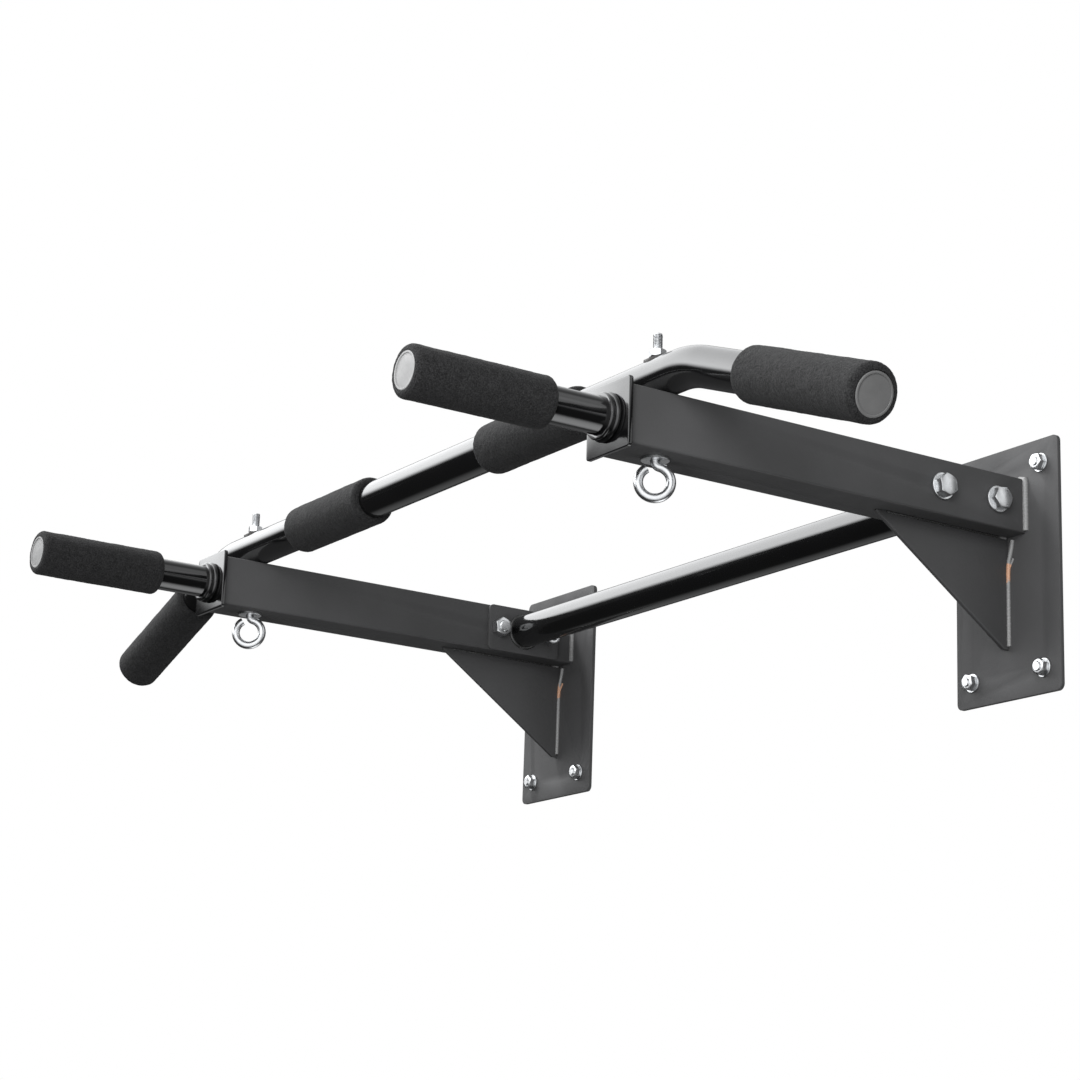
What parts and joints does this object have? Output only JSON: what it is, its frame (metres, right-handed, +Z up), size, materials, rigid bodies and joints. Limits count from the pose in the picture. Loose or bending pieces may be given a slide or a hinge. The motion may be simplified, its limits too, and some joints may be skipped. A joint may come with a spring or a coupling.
{
  "type": "wall mounted pull up bar",
  "caption": "Wall mounted multi-grip pull up bar: welded arms and gussets carry a bar with drooping foam ends, forward handles, a rear crossbar and turning eye bolts.",
  "frame": {"origin": "middle of the eight wall studs, on the wall plane that the plates' backs touch", "axes": "+X along the wall to the right of a person who faces the wall, +Y into the wall, +Z up; the bar stands out towards -Y"},
  "size_m": [1.2816, 0.639, 0.2545],
  "materials": {
    "satin_coat": "satin black powder coat",
    "gloss_coat": "gloss black paint",
    "foam": "closed cell foam, open textured skin",
    "zinc": "bright zinc plate",
    "bar_plug": "grey moulded plastic",
    "handle_plug": "light grey moulded plastic",
    "black_washer": "black oxide"
  },
  "bodies": {
    "frame": {"wall_plate_left": "satin_coat", "wall_plate_right": "satin_coat", "arm_left": "satin_coat", "arm_right": "satin_coat", "gusset_left": "satin_coat", "gusset_right": "satin_coat", "bracket_welds_left": "satin_coat", "bracket_welds_right": "satin_coat", "wall_studs_left": "zinc", "wall_studs_right": "zinc", "wall_washers_left": "zinc", "wall_washers_right": "zinc", "wall_nuts_left": "zinc", "wall_nuts_right": "zinc", "main_bar": "gloss_coat", "bar_end_plug_left": "bar_plug", "bar_end_plug_right": "bar_plug", "center_grip_left": "foam", "center_grip_right": "foam", "end_grip_left": "foam", "end_grip_right": "foam", "handle_tube_left": "gloss_coat", "handle_tube_right": "gloss_coat", "handle_collar_left": "gloss_coat", "handle_collar_right": "gloss_coat", "handle_plate_left": "gloss_coat", "handle_plate_right": "gloss_coat", "handle_insert_left": "gloss_coat", "handle_insert_right": "gloss_coat", "handle_grip_left": "foam", "handle_grip_right": "foam", "handle_plug_left": "handle_plug", "handle_plug_right": "handle_plug", "crossbar_tube": "gloss_coat", "crossbar_flange_left": "satin_coat", "crossbar_flange_right": "satin_coat", "crossbar_welds_left": "gloss_coat", "crossbar_welds_right": "gloss_coat", "crossbar_bolts_left": "zinc", "crossbar_bolts_right": "zinc", "crossbar_washers_left": "zinc", "crossbar_washers_right": "zinc", "crossbar_nuts_left": "zinc", "crossbar_nuts_right": "zinc", "saddle_washer_left": "black_washer", "saddle_washer_right": "black_washer"},
    "eye_bolt_left": {"eye_bolt_left": "zinc", "eye_washer_left": "zinc", "eye_nut_left": "zinc"},
    "eye_bolt_right": {"eye_bolt_right": "zinc", "eye_washer_right": "zinc", "eye_nut_right": "zinc"}
  },
  "joints": [
    {"name": "turn_eye_left", "type": "hinge", "parent": "frame", "child": "eye_bolt_left", "pos_m": [-0.36, -0.39, 0.057], "axis": [0, 0, 1], "continuous": true},
    {"name": "turn_eye_right", "type": "hinge", "parent": "frame", "child": "eye_bolt_right", "pos_m": [0.36, -0.39, 0.057], "axis": [0, 0, 1], "continuous": true}
  ]
}
